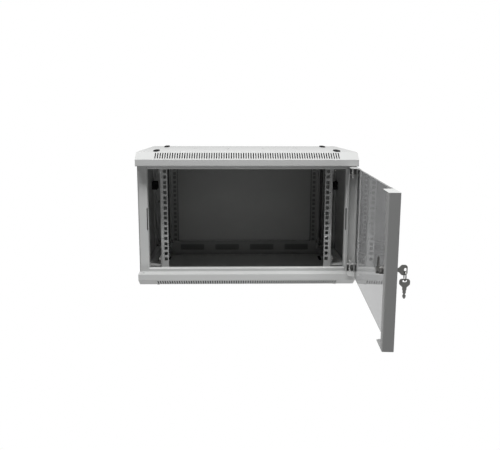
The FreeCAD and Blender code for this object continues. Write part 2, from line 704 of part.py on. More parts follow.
def latch_body():
    """Black latch body on the inside of the left side panel."""
    half = LATCH_BODY_HEIGHT / 2
    points = [(LATCH_END - LATCH_BODY_LENGTH, LATCH_HEIGHT - half), (LATCH_END, LATCH_HEIGHT - half),
              (LATCH_END, LATCH_HEIGHT + half), (LATCH_END - LATCH_BODY_LENGTH, LATCH_HEIGHT + half)]
    wire = rounded_wire(points, [LATCH_CORNER] * 4, lambda d, z: V(-SIDE_INNER, y_of(d), z))
    body = Part.Face(wire).extrude(V(LATCH_BODY_THICK, 0, 0))
    near_inner_face = LATCH_BODY_THICK - SIDE_INNER - LATCH_BEVEL
    rim = [edge for edge in body.Edges if edge.BoundBox.XMin > near_inner_face]
    body = body.makeChamfer(LATCH_BEVEL, rim)
    return body.cut([latch_pocket(), nose_box(SEAT, THROUGH)])


def latch_slide():
    """Spring slide of the left latch, with a finger rib in the window."""
    pocket_end = LATCH_END - LATCH_WALL
    half = LATCH_POCKET_HEIGHT / 2 - SEAT
    floor = -SIDE_INNER + LATCH_BODY_THICK - LATCH_WALL - SEAT
    face = -SIDE_INNER + SEAT
    slide = box((face, floor), (pocket_end - LATCH_SLIDE_LENGTH, pocket_end - SEAT),
                (LATCH_HEIGHT - half, LATCH_HEIGHT + half))
    ribs = []
    for k in range(LATCH_RIB_COUNT):
        depth = pocket_end - LATCH_SLIDE_LENGTH / 2 + (k - (LATCH_RIB_COUNT - 1) / 2) * LATCH_RIB_PITCH
        ribs.append(box((-SIDE_OUTER, face), (depth - LATCH_RIB / 2, depth + LATCH_RIB / 2),
                        (LATCH_HEIGHT - half + LATCH_RIB_INSET, LATCH_HEIGHT + half - LATCH_RIB_INSET)))
    return slide.fuse(ribs + [nose_box(0, LATCH_NOSE_REACH)]).removeSplitter()


# ---------------------------------------------------------------- door
def as_opened(shape):
    """Turn a piece from the closed door to where the open door holds it."""
    turned = shape.copy()
    turned.rotate(V(HINGE_SIDE, y_of(HINGE_DEPTH), 0), V(0, 0, 1), DOOR_REST_ANGLE)
    return turned


def stile(edge, inward):
    """Channel of sheet along one edge of the door, with a cap flange at each end."""
    path = [(edge + inward * STILE_LIP, DOOR_INNER), (edge, DOOR_INNER), (edge, DOOR_OUTER),
            (edge + inward * STILE_WIDTH, DOOR_OUTER)]
    up = V(0, 0, 2 * DOOR_HALF_HEIGHT)
    if inward > 0:
        body = bent_sheet(path[::-1], DOOR_SHEET, in_plan, up)
    else:
        body = bent_sheet(path, DOOR_SHEET, in_plan, up)
    body.translate(V(0, 0, -DOOR_HALF_HEIGHT))
    corners = [(edge, DOOR_OUTER), (edge + inward * STILE_CAP_OUTER, DOOR_OUTER),
               (edge + inward * STILE_CAP_INNER, DOOR_INNER), (edge, DOOR_INNER)]
    bend = BEND + DOOR_SHEET
    cap = Part.Face(rounded_wire(corners, [bend, 0, 2 * BEND, bend], in_plan)).extrude(V(0, 0, DOOR_SHEET))
    low = cap.translated(V(0, 0, -DOOR_HALF_HEIGHT))
    high = cap.translated(V(0, 0, DOOR_HALF_HEIGHT - DOOR_SHEET))
    return body.fuse([low, high]).removeSplitter()


def free_stile():
    return stile(-FREE_EDGE, 1).cut(drill(LOCK_RADIUS + SEAT / 2, on_lock_axis(DOOR_OUTER), V(0, 1, 0)))


def hinge_stile():
    bore = cylinder(PIN_RADIUS + PIN_CLEARANCE, V(HINGE_SIDE, y_of(HINGE_DEPTH), -HALF_HEIGHT),
                    V(0, 0, 1), 2 * HALF_HEIGHT)
    return stile(HINGE_EDGE, -1).cut(bore)


def glass_edges():
    return -FREE_EDGE + STILE_WIDTH - GLASS_OVERLAP, HINGE_EDGE - STILE_WIDTH + GLASS_OVERLAP


def door_glass():
    pane = box(glass_edges(), (GLASS_FRONT, GLASS_FRONT + GLASS_THICK),
               (-DOOR_HALF_HEIGHT, DOOR_HALF_HEIGHT))
    upright = [edge for edge in pane.Edges if edge.Length < GLASS_THICK + 1e-6]
    return pane.makeFillet(GLASS_THICK / 2, upright)


def glass_tapes():
    """Two strips of tape that hold the pane behind the stiles."""
    left, right = glass_edges()
    margin = (GLASS_OVERLAP - TAPE_WIDTH) / 2
    height = (-DOOR_HALF_HEIGHT + TAPE_FROM_END, DOOR_HALF_HEIGHT - TAPE_FROM_END)
    depth = (GLASS_FRONT - TAPE_THICK, GLASS_FRONT)
    return [box((left + margin, left + margin + TAPE_WIDTH), depth, height),
            box((right - margin - TAPE_WIDTH, right - margin), depth, height)]


# ---------------------------------------------------------------- hinge pins (upper ones)
def cap_z():
    """Inside of the stile's end cap, where the pin's collar stops."""
    return DOOR_HALF_HEIGHT - DOOR_SHEET


def guide_z():
    return cap_z() - GUIDE_FROM_CAP


def collar_z():
    """Underside of the collar, which the spring pushes towards the cap."""
    return cap_z() - SEAT - COLLAR_THICK


def pin_guide():
    """Angle plate inside the hinge stile that guides the tail of the pin."""
    inside = HINGE_EDGE - DOOR_SHEET
    front = DOOR_OUTER + DOOR_SHEET + BEND
    rear = DOOR_INNER - DOOR_SHEET - BEND
    path = [(inside, guide_z() - GUIDE_LEG), (inside, guide_z()),
            (HINGE_SIDE - 2 * PIN_RADIUS, guide_z())]
    plate = bent_sheet([(x, -z) for x, z in path], GUIDE_PLATE,
                       lambda x, z: V(x, y_of(front), -z), V(0, rear - front, 0))
    axis_point = V(HINGE_SIDE, y_of(HINGE_DEPTH), guide_z())
    return plate.cut(drill(PIN_RADIUS + PIN_CLEARANCE, axis_point, V(0, 0, 1)))


def hinge_pin():
    """Pin with bevelled ends and a collar, and a finger lever through its tail."""
    top = LIP_Z + PIN_REACH
    lever_z = guide_z() - GUIDE_PLATE - PIN_TAIL
    foot = V(HINGE_SIDE, y_of(HINGE_DEPTH), lever_z - PIN_RADIUS)
    pin = cylinder(PIN_RADIUS, foot, V(0, 0, 1), top - foot.z)
    ends = [edge for edge in pin.Edges if edge.Curve.TypeId == "Part::GeomCircle"]
    pin = pin.makeChamfer(PIN_BEVEL, ends)
    collar = cylinder(COLLAR_RADIUS, V(foot.x, foot.y, collar_z()), V(0, 0, 1), COLLAR_THICK)
    lever = cylinder(LEVER_RADIUS, V(foot.x, foot.y, lever_z), V(-1, 0, 0), LEVER_REACH)
    return pin.fuse([collar, lever]).removeSplitter()


def pin_spring():
    """Coil spring between the guide plate and the collar, its wire drawn with flat sides."""
    low = guide_z() + SPRING_WIRE / 2 + SEAT
    high = collar_z() - SPRING_WIRE / 2 - SEAT
    steps = int(SPRING_TURNS * SPRING_STEPS)
    sections = []
    for i in range(steps + 1):
        turn = 2 * math.pi * i / SPRING_STEPS
        outward = V(math.cos(turn), math.sin(turn), 0)
        middle = outward * SPRING_RADIUS + V(0, 0, low + (high - low) * i / steps)
        corners = []
        for k in range(SPRING_SIDES):
            angle = 2 * math.pi * k / SPRING_SIDES
            corners.append(middle + outward * (SPRING_WIRE / 2 * math.cos(angle))
                           + V(0, 0, SPRING_WIRE / 2 * math.sin(angle)))
        sections.append(corners)
    faces = []
    for i in range(steps):
        for k in range(SPRING_SIDES):
            a, b = sections[i][k], sections[i][(k + 1) % SPRING_SIDES]
            c, d = sections[i + 1][(k + 1) % SPRING_SIDES], sections[i + 1][k]
            faces.append(Part.Face(Part.makePolygon([a, b, c, a])))
            faces.append(Part.Face(Part.makePolygon([a, c, d, a])))
    for end in (sections[0][::-1], sections[-1]):
        faces.append(Part.Face(Part.makePolygon(end + end[:1])))
    coil = Part.makeSolid(Part.makeShell(faces))
    if coil.Volume < 0:
        coil.reverse()
    return coil.translated(V(HINGE_SIDE, y_of(HINGE_DEPTH), 0))


def turned_over(shape):
    """The same piece for the door's lower end, turned about a level line."""
    turned = shape.copy()
    turned.rotate(V(HINGE_SIDE, y_of(HINGE_DEPTH), 0), V(1, 0, 0), 180)
    return turned


# ---------------------------------------------------------------- lock and keys
def on_lock_axis(depth):
    return V(LOCK_X, y_of(depth), 0)


def lock_rear():
    """Depth of the lock body's inner end, just short of the cam."""
    return CAM_DEPTH - SEAT


def lock_housing():
    """Fixed lock body with a flange outside and a bore for the rotor."""
    outer = y_of(DOOR_OUTER - LOCK_FLANGE)
    flange = cylinder(LOCK_FLANGE_RADIUS, on_lock_axis(DOOR_OUTER - LOCK_FLANGE), V(0, 1, 0), LOCK_FLANGE)
    flange = flange.makeChamfer(LOCK_FLANGE_BEVEL, [edge for edge in flange.Edges
                                                    if edge.BoundBox.YMax < outer + LOCK_FLANGE_BEVEL])
    body = cylinder(LOCK_RADIUS, on_lock_axis(DOOR_OUTER), V(0, 1, 0), lock_rear() - DOOR_OUTER)
    bore = cylinder(ROTOR_RADIUS + ROTOR_CLEARANCE, on_lock_axis(DOOR_OUTER - THROUGH), V(0, 1, 0),
                    lock_rear() - DOOR_OUTER + 2 * THROUGH)
    return flange.fuse(body).cut(bore).removeSplitter()


def ring_of(nut, radius, axis_point):
    """A nut with its bore."""
    return nut.cut(drill(radius, axis_point, V(0, 1, 0)))


def lock_nut():
    """Hexagon nut that clamps the lock against the stile."""
    start = on_lock_axis(DOOR_OUTER + DOOR_SHEET)
    return ring_of(hexagon(LOCK_NUT_ACROSS, start, V(0, 1, 0), LOCK_NUT), LOCK_RADIUS + SEAT / 2, start)


def rotor_front():
    """Depth of the rotor's face, where the key goes in."""
    return DOOR_OUTER - LOCK_FLANGE - ROTOR_SHOW


def lock_rotor():
    """Rotor with a keyway; its square end carries the cam."""
    start = rotor_front()
    rotor = cylinder(ROTOR_RADIUS, on_lock_axis(start), V(0, 1, 0), CAM_DEPTH - start)
    half = ROTOR_SQUARE / 2
    square = box((LOCK_X - half, LOCK_X + half), (CAM_DEPTH, CAM_DEPTH + CAM_THICK), (-half, half))
    stud = cylinder(ROTOR_STUD_RADIUS, on_lock_axis(CAM_DEPTH + CAM_THICK), V(0, 1, 0), CAM_NUT)
    slot_x = KEY_THICK / 2 + KEY_CLEARANCE
    slot_z = KEY_BLADE_WIDTH / 2 + KEY_CLEARANCE
    keyway_end = start + KEY_BLADE_LENGTH + KEY_CLEARANCE
    keyway = box((LOCK_X - slot_x, LOCK_X + slot_x), (start - THROUGH, keyway_end), (-slot_z, slot_z))
    return rotor.fuse([square, stud]).cut(keyway).removeSplitter()


def lock_cam():
    """Flat cam with a round hub and a tapered arm that points up when unlocked."""
    side = CAM_WIDTH / 2
    tip = CAM_TIP_WIDTH / 2
    points = [(LOCK_X - side, -side), (LOCK_X + side, -side), (LOCK_X + side, side),
              (LOCK_X + tip, CAM_REACH), (LOCK_X - tip, CAM_REACH), (LOCK_X - side, side)]
    corners = [CAM_HUB_CORNER, CAM_HUB_CORNER, CAM_SHOULDER_CORNER, CAM_TIP_CORNER, CAM_TIP_CORNER,
               CAM_SHOULDER_CORNER]
    wire = rounded_wire(points, corners, lambda x, z: V(x, y_of(CAM_DEPTH), z))
    plate = Part.Face(wire).extrude(V(0, CAM_THICK, 0))
    half = ROTOR_SQUARE / 2
    return plate.cut(box((LOCK_X - half, LOCK_X + half), (CAM_DEPTH - THROUGH, CAM_DEPTH + THROUGH),
                         (-half, half)))


def cam_nut():
    start = on_lock_axis(CAM_DEPTH + CAM_THICK)
    return ring_of(hexagon(CAM_NUT_ACROSS, start, V(0, 1, 0), CAM_NUT), ROTOR_STUD_RADIUS, start)


def key_hole_middle():
    """Distance from the key's shoulder to the middle of the hole in its bow."""
    return KEY_NECK + KEY_TAPER + KEY_BOW_LENGTH - KEY_HOLE_FROM_END - KEY_HOLE_WIDTH / 2


def key():
    """Flat key with its shoulder at the origin, blade along +Y, bow along -Y, standing upright."""
    blade = KEY_BLADE_WIDTH / 2
    neck = KEY_NECK_WIDTH / 2
    bow = KEY_BOW_WIDTH / 2
    full = KEY_NECK + KEY_TAPER
    upper = [(-full - KEY_BOW_LENGTH, bow, KEY_BOW_CORNER), (-full, bow, KEY_BOW_INNER_CORNER),
             (-KEY_NECK, neck, KEY_NECK_CORNER), (0, neck, 0), (0, blade, 0),
             (KEY_BLADE_LENGTH - KEY_TIP_TAPER, blade, KEY_TIP_CORNER),
             (KEY_BLADE_LENGTH, KEY_TIP_WIDTH / 2, 0)]
    lower = [(along, -across, corner) for along, across, corner in upper[::-1]]
    outline = upper + lower
    wire = rounded_wire([(along, across) for along, across, corner in outline],
                        [corner for along, across, corner in outline],
                        lambda along, across: V(-KEY_THICK / 2, along, across))
    blank = Part.Face(wire).extrude(V(KEY_THICK, 0, 0))
    waist = blade - KEY_WAIST + KEY_WAIST_RADIUS
    cuts = [drill(KEY_WAIST_RADIUS, V(0, KEY_WAIST_FROM_SHOULDER, side * waist), V(1, 0, 0))
            for side in (-1, 1)]
    hole = oblong(KEY_HOLE_WIDTH, KEY_HOLE_LENGTH, lambda a, b: V(-THROUGH, a - key_hole_middle(), b))
    cuts.append(Part.Face(hole).extrude(V(2 * THROUGH, 0, 0)))
    return blank.cut(cuts)


def wire_reach():
    """Half of the ring wire's diagonal, and the gap to the key that carries it."""
    return RING_WIRE / math.sqrt(2) + SEAT


def key_one():
    """Key in the lock, its shoulder just clear of the rotor."""
    return key().translated(on_lock_axis(rotor_front() - SEAT))


def ring_centre():
    """The ring hangs in the lower end of the first key's hole."""
    drop = KEY_HOLE_LENGTH / 2 - wire_reach()
    return on_lock_axis(rotor_front() - SEAT - key_hole_middle()) - V(0, 0, drop + RING_RADIUS)


def key_ring():
    """Ring of square wire."""
    half = RING_WIRE / 2
    centre = ring_centre()
    corners = [centre + V(RING_RADIUS + a * half, b * half, 0)
               for a, b in ((-1, -1), (1, -1), (1, 1), (-1, 1))]
    return Part.Face(Part.makePolygon(corners + corners[:1])).revolve(centre, V(0, 1, 0), 360)


def key_two():
    """Spare key, hung on the ring by the upper edge of its hole, blade down."""
    spare = key().translated(V(0, key_hole_middle(), 0))
    spare.rotate(V(0, 0, 0), V(1, 0, 0), -90)
    drop = KEY_HOLE_WIDTH / 2 - wire_reach()
    return spare.translated(ring_centre() - V(0, 0, RING_RADIUS + drop))


# ---------------------------------------------------------------- build
def build():
    os.makedirs("parts", exist_ok=True)
    upper = skin().cut(air_slots() + hinge_holes() + plug_slots())
    save("roof_panel", upper.cut(fan_cuts()))
    save("bottom_panel", mirrored_z(upper))
    save("roof_plugs", plugs())
    save("bottom_plugs", [mirrored_z(plug) for plug in plugs()])

    save("front_post_left", front_post())
    save("front_post_right", mirrored_x(front_post()))
    save("front_bar_top", front_bar())
    save("front_bar_bottom", mirrored_z(front_bar()))
    save("rear_post_left", rear_post())
    save("rear_post_right", mirrored_x(rear_post()))
    save("rear_bar_top", rear_bar())
    save("rear_bar_bottom", mirrored_z(rear_bar()))
    save("side_bar_left_top", side_bar())
    save("side_bar_left_bottom", mirrored_z(side_bar()))
    save("side_bar_right_top", mirrored_x(side_bar()))
    save("side_bar_right_bottom", mirrored_x(mirrored_z(side_bar())))
    save("back_panel", back_panel())
    save("back_screws", back_screws())
    save("cable_covers_top", cable_covers())
    save("cable_covers_bottom", [mirrored_z(cover) for cover in cable_covers()])

    for row, depth, leg in (("front", FRONT_RAIL_DEPTH, 1), ("rear", REAR_RAIL_DEPTH, -1)):
        left = rail(depth, leg)
        save("%s_rail_left" % row, left)
        save("%s_rail_right" % row, mirrored_x(left))
        bracket = rail_bracket(depth + leg * RAIL_LEG / 2)
        save("%s_bracket_left_bottom" % row, bracket)
        save("%s_bracket_left_top" % row, mirrored_z(bracket))
        save("%s_bracket_right_bottom" % row, mirrored_x(bracket))
        save("%s_bracket_right_top" % row, mirrored_x(mirrored_z(bracket)))
    save("rail_bolts", rail_bolts())
    save("foot_bolts", foot_bolts())

    save("side_panel_left", side_panel())
    save("side_panel_right", mirrored_x(side_panel()))
    save("latch_body_left", latch_body())
    save("latch_body_right", mirrored_x(latch_body()))
    save("latch_slide_left", latch_slide())
    save("latch_slide_right", mirrored_x(latch_slide()))

    door_pieces = {
        "door_stile_free": free_stile(),
        "door_stile_hinge": hinge_stile(),
        "door_glass": door_glass(),
        "pin_guide_top": pin_guide(),
        "pin_guide_bottom": mirrored_z(pin_guide()),
        "hinge_pin_top": hinge_pin(),
        "hinge_pin_bottom": mirrored_z(hinge_pin()),
        "pin_spring_top": pin_spring(),
        "pin_spring_bottom": turned_over(pin_spring()),
        "lock_housing": lock_housing(),
        "lock_nut": lock_nut(),
        "lock_rotor": lock_rotor(),
        "lock_cam": lock_cam(),
        "cam_nut": cam_nut(),
        "key_one": key_one(),
        "key_ring": key_ring(),
        "key_two": key_two(),
    }
    for name, piece in door_pieces.items():
        save(name, as_opened(piece))
    save("glass_tapes", [as_opened(tape) for tape in glass_tapes()])


build()
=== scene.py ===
# %% [markdown]
# # Wall mount network cabinet
# The cabinet is sheet metal: folded plates, punched holes and a powder coat. Its exact
# shapes are already solids, so this file gives them their finishes, adds the small
# pressed and moulded details, lights the cabinet and sets the camera.

# %% Load the cabinet
import json
import math
import bpy
from mathutils import Matrix, Vector


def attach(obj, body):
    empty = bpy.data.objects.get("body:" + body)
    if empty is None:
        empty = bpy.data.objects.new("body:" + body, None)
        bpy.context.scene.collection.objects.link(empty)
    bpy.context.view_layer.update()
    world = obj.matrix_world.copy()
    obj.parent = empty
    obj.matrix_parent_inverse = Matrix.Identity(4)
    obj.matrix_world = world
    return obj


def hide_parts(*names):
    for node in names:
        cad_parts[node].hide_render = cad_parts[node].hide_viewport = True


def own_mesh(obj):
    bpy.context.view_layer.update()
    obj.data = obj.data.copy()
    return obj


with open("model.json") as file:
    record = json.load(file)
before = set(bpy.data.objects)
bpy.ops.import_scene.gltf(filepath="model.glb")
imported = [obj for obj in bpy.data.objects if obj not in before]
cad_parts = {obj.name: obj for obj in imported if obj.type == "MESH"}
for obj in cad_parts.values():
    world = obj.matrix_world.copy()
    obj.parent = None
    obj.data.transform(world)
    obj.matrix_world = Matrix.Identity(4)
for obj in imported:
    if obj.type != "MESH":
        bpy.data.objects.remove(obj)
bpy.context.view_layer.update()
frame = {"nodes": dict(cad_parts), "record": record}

# %% [markdown]
# A camera is a position, a direction and a lens. The cabinet is seen from slightly
# above and a little to the left of its middle, from about two metres away.

# %% Camera
CAMERA_PLACE = Vector((-0.03867, -1.9784, 0.26853))
CAMERA_YAW = math.radians(1.3395)
CAMERA_PITCH = math.radians(10.1635)
CAMERA_ROLL = math.radians(0.1318)
SENSOR_MM = 36
LENS_MM = 42.373
LENS_SHIFT = (0.00678, 0.00242)


def make_camera():
    """Camera that looks along +Y, turned right by the yaw and down by the pitch."""
    right = Vector((math.cos(CAMERA_YAW), -math.sin(CAMERA_YAW), 0))
    forward = Vector((math.sin(CAMERA_YAW) * math.cos(CAMERA_PITCH),
                      math.cos(CAMERA_YAW) * math.cos(CAMERA_PITCH), -math.sin(CAMERA_PITCH)))
    up = right.cross(forward)
    side = right * math.cos(CAMERA_ROLL) + up * math.sin(CAMERA_ROLL)
    top = up * math.cos(CAMERA_ROLL) - right * math.sin(CAMERA_ROLL)
    data = bpy.data.cameras.new("camera")
    data.sensor_width = SENSOR_MM
    data.lens = LENS_MM
    data.shift_x, data.shift_y = LENS_SHIFT
    data.clip_start = 0.01
    data.clip_end = 50
    camera = bpy.data.objects.new("camera", data)
    turn = Matrix((side, top, -forward)).transposed().to_4x4()
    camera.matrix_world = Matrix.Translation(CAMERA_PLACE) @ turn
    bpy.context.scene.collection.objects.link(camera)
    bpy.context.scene.camera = camera


make_camera()

# %% [markdown]
# Materials and Geometry Nodes are graphs of nodes. Two small helpers make such a graph
# read like ordinary formulas: `Wire` wraps one socket, and adds a Math node whenever it
# is added, multiplied or compared, and `Graph` makes any other node from a name and its
# values.

# %% Node helpers
class Wire:
    """One output socket that can be used in a formula."""

    def __init__(self, graph, socket):
        self.graph = graph
        self.socket = socket

    def formula(self, operation, first, second=None):
        values = {0: first} if second is None else {0: first, 1: second}
        return self.graph.node("ShaderNodeMath", {"operation": operation}, values)

    def __add__(self, other):
        return self.formula("ADD", self, other)

    def __sub__(self, other):
        return self.formula("SUBTRACT", self, other)

    def __rsub__(self, other):
        return self.formula("SUBTRACT", other, self)

    def __mul__(self, other):
        return self.formula("MULTIPLY", self, other)

    def __abs__(self):
        return self.formula("ABSOLUTE", self)

    def __gt__(self, other):
        return self.formula("GREATER_THAN", self, other)

    def __lt__(self, other):
        return self.formula("LESS_THAN", self, other)

    __radd__ = __add__
    __rmul__ = __mul__


class Graph:
    """Node graph of a material, the world or a Geometry Nodes tree."""

    def __init__(self, tree):
        self.tree = tree
        tree.nodes.clear()

    def node(self, kind, settings=None, values=None, output=0):
        made = self.tree.nodes.new(kind)
        for name, value in (settings or {}).items():
            setattr(made, name, value)
        for name, value in (values or {}).items():
            if isinstance(value, Wire):
                self.tree.links.new(value.socket, made.inputs[name])
            else:
                made.inputs[name].default_value = value
        return Wire(self, made.outputs[output])

    def place(self):
        """Position on the object itself, in metres."""
        return self.node("ShaderNodeTexCoord", output=3)

    def noise(self, scale, detail, stretch=None):
        place = self.place()
        if stretch:
            place = self.node("ShaderNodeMapping", None, {"Vector": place, "Scale": stretch})
        return self.node("ShaderNodeTexNoise", None,
                         {"Vector": place, "Scale": scale, "Detail": detail})

    def tint(self, factor, start, end):
        """Colour that goes from start to end with the factor; each is fixed or a wire."""
        colours = {place: colour if isinstance(colour, Wire) else (*colour, 1)
                   for place, colour in ((6, start), (7, end))}
        return self.node("ShaderNodeMix", {"data_type": "RGBA"}, {0: factor, **colours}, output=2)

    def axes(self):
        """Position on the object as three numbers, in metres."""
        split = self.tree.nodes.new("ShaderNodeSeparateXYZ")
        self.tree.links.new(self.place().socket, split.inputs[0])
        return [Wire(self, end) for end in split.outputs]

    def bump(self, height, strength, distance):
        return self.node("ShaderNodeBump", None,
                         {"Height": height, "Strength": strength, "Distance": distance})

    def finish(self, shader, target="ShaderNodeOutputMaterial"):
        end = self.tree.nodes.new(target)
        self.tree.links.new(shader.socket, end.inputs["Surface"])


def new_material(name):
    material = bpy.data.materials.new(name)
    material.use_nodes = True
    return material, Graph(material.node_tree)


# %% [markdown]
# The sheet metal is powder coated. Powder coat isn't quite flat: it has a fine
# orange-peel texture, and its sheen varies a little. Two noises do that, one about a
# millimetre wide for the peel and one a hand wide for the sheen.

# %% Powder coat
def powder_coat(name, light, dark, sheen=0.42, shade=None):
    """Paint; shade is a function of the graph that is 1 where the painted shade is deepest."""
    material, graph = new_material(name)
    cloud = graph.noise(scale=9.0, detail=3.0)
    peel = graph.noise(scale=900.0, detail=2.0)
    speck = graph.noise(scale=260.0, detail=4.0)
    colour = graph.tint(cloud * 0.6 + speck * 0.4, dark, light)
    if shade:
        # Painted shade: where shade is 1 the colour turns to the near-black painted shade colour.
        colour = graph.tint(shade(graph), colour, PAINTED_SHADE_COLOUR)
    shader = graph.node("ShaderNodeBsdfPrincipled", None, {
        "Base Color": colour,
        "Roughness": cloud * 0.10 + speck * 0.08 + (sheen - 0.09),
        "Normal": graph.bump(peel, strength=0.25, distance=0.00012),
        "Specular IOR Level": 0.4,
    })
    graph.finish(shader)
    return material


PAINT_LIGHT = (0.52, 0.525, 0.52)
PAINT_DARK = (0.48, 0.485, 0.48)
# Near-black colour that stands for shade, painted into the coat in the hollow band and the deep
# interior.
PAINTED_SHADE_COLOUR = (0.006, 0.006, 0.006)
coat = powder_coat("powder_coat", PAINT_LIGHT, PAINT_DARK)

# %% [markdown]
# Behind the slatted slopes lies a narrow hollow, closed at the back by the front bar.
# Hardly any light gets in, so the slots should look black, but in this white room the
# plain coat leaves them grey. So shade is painted into the coat there: its colour turns
# near-black, and a few comparisons of the place on the sheet tell the inside of the
# hollow from the outside of the cabinet.

# %% Painted shade of the hollow front band
FRONT_Y = -0.400
BAND_TOP = 0.1665
SLOPE_RISE = 0.0185
SLOPE_RUN = 0.028
SLOPE_LENGTH = math.hypot(SLOPE_RISE, SLOPE_RUN)
LIP_Z = 0.148
BELOW_SLOPE = 0.0002
INSIDE_CORNER = 0.0008
BAND_END = 0.2994


def painted_shade_in_hollow(graph):
    """Painted shade: 1 inside the hollow between the front band, the slope and the front bar."""
    x, y, z = graph.axes()
    depth = y - FRONT_Y
    height = abs(z)
    above_slope = ((height - BAND_TOP) * (SLOPE_RUN / SLOPE_LENGTH)
                   - depth * (SLOPE_RISE / SLOPE_LENGTH))
    behind_band = (depth > INSIDE_CORNER) * (depth < SLOPE_RUN + INSIDE_CORNER)
    between_ends = abs(x) < BAND_END
    over_lip = height > LIP_Z + INSIDE_CORNER
    return between_ends * behind_band * over_lip * (above_slope < -BELOW_SLOPE)


# Coat with painted shade, near-black inside the hollow.
band_coat_painted_shade = powder_coat("powder_coat_band_painted_shade", PAINT_LIGHT, PAINT_DARK, shade=painted_shade_in_hollow)

# %% [markdown]
# The deeper a surface lies inside, the less light it gets, and the lamps here show that
# too weakly. So shade is painted into the coat: the inner faces of the side panels are a
# shade darker. The back panel's painted shade grows with height, because its top gets the
# most light, and the strips behind the rear rails are darkest, so that the rails' square
# holes can be read. The same comparisons of place do it, and the outer faces keep the
# plain coat. The rear bars, covers and rear rails get darker coats all over, which are
# painted shade as well.

# %% Painted shade of the deep interior
RAIL_EDGE = 0.2235
BACK_INNER_Y = -0.0006
SIDE_INNER_X = 0.2987
INNER_SHADE = 0.42
BACK_SHADE = 0.26
BACK_SHADE_RISE = 2.2  # per metre of height
RAIL_SHADE = 0.67


def back_inside(graph):
    """Painted shade of the back panel's inner face, deeper behind the rear rails."""
    x, y, z = graph.axes()
    behind_rail = abs(x) > RAIL_EDGE
    between_rails = (1.0 - behind_rail) * (z * BACK_SHADE_RISE + BACK_SHADE)
    return (y < BACK_INNER_Y) * (behind_rail * RAIL_SHADE + between_rails)


def side_inside(graph):
    """Painted shade of the inner faces of both side panels."""
    x, _, _ = graph.axes()
    return (abs(x) < SIDE_INNER_X) * INNER_SHADE


# Coats with painted shade on the inner faces of the back and side panels.
back_coat_painted_shade = powder_coat("powder_coat_back_painted_shade", PAINT_LIGHT, PAINT_DARK, shade=back_inside)
side_coat_painted_shade = powder_coat("powder_coat_side_painted_shade", PAINT_LIGHT, PAINT_DARK, shade=side_inside)
# Darker coats all over, as painted shade deep inside the cabinet.
bar_coat_painted_shade = powder_coat("powder_coat_bar_painted_shade", (0.32, 0.323, 0.32), (0.29, 0.292, 0.29))
cover_coat_painted_shade = powder_coat("powder_coat_cover_painted_shade", (0.19, 0.191, 0.19), (0.17, 0.171, 0.17))
rear_rail_coat_painted_shade = powder_coat("powder_coat_rear_rail_painted_shade", (0.32, 0.323, 0.32), (0.29, 0.292, 0.29))

# %% [markdown]
# The plugs in the roof and the side latches are moulded in black plastic, with the
# fine spark texture of the mould.

# %% Black plastic
def black_plastic(name):
    material, graph = new_material(name)
    grain = graph.noise(scale=1400.0, detail=3.0)
    cloud = graph.noise(scale=60.0, detail=2.0)
    shader = graph.node("ShaderNodeBsdfPrincipled", None, {
        "Base Color": graph.tint(cloud, (0.005, 0.005, 0.006), (0.010, 0.010, 0.011)),
        "Roughness": grain * 0.15 + 0.55,
        "Specular IOR Level": 0.12,
        "Normal": graph.bump(grain, strength=0.3, distance=0.00006),
    })
    graph.finish(shader)
    return material


plastic = black_plastic("moulded_black")

# %% [markdown]
# Bolts are zinc plated, pins and springs are plain steel, and the lock and its keys are
# nickel plated. All are metals, so the colour goes to the reflection, and a stretched
# noise gives the brushed or drawn look. Their colours hold painted shade and light: most
# are painted fairly dark, because they mirror a white room, and the pins and springs are
# painted lighter, because they sit in the hinge's shade.

# %% Metals
def metal(name, light, dark, rough, stretch):
    """Metal whose noise is stretched along the axis with the small number."""
    material, graph = new_material(name)
    brush = graph.noise(scale=500.0, detail=3.0, stretch=stretch)
    cloud = graph.noise(scale=70.0, detail=2.0)
    shader = graph.node("ShaderNodeBsdfPrincipled", None, {
        "Base Color": graph.tint(cloud, dark, light),
        "Metallic": 1.0,
        "Roughness": brush * 0.16 + (rough - 0.08),
        "Normal": graph.bump(brush, strength=0.2, distance=0.00004),
    })
    graph.finish(shader)
    return material


# Painted shade: dark metal colours, because the metals mirror a white room.
zinc = metal("dull_zinc", light=(0.20, 0.20, 0.19), dark=(0.13, 0.13, 0.125),
             rough=0.42, stretch=(1.0, 1.0, 0.15))
# Painted light: the pins and springs are lighter against the hinge's shade.
pin_steel_painted_light = metal("pin_steel_painted_light", light=(0.66, 0.66, 0.65), dark=(0.56, 0.56, 0.555),
                  rough=0.42, stretch=(1.0, 1.0, 0.15))
nickel = metal("nickel_plate", light=(0.30, 0.295, 0.287), dark=(0.20, 0.197, 0.192),
               rough=0.30, stretch=(0.3, 1.0, 1.0))
nut_nickel = metal("nickel_nut", light=(0.20, 0.196, 0.188), dark=(0.09, 0.089, 0.087),
                   rough=0.20, stretch=(1.0, 0.3, 1.0))

# %% [markdown]
# The door's pane is grey tinted safety glass. Real glass bends and reflects light by
# its angle, which the transmission shader does by itself; the tint is its colour. The
# pane is held all round by black foam tape.

# %% Tinted glass
def tinted_glass(name):
    material, graph = new_material(name)
    wave = graph.noise(scale=14.0, detail=1.0)
    shader = graph.node("ShaderNodeBsdfPrincipled", None, {
        "Base Color": (0.48, 0.484, 0.488, 1),
        "Roughness": 0.0,
        "IOR": 1.36,
        "Transmission Weight": 1.0,
        "Normal": graph.bump(wave, strength=0.03, distance=0.0004),
    })
    graph.finish(shader)
    return material


glass = tinted_glass("grey_tinted_glass")

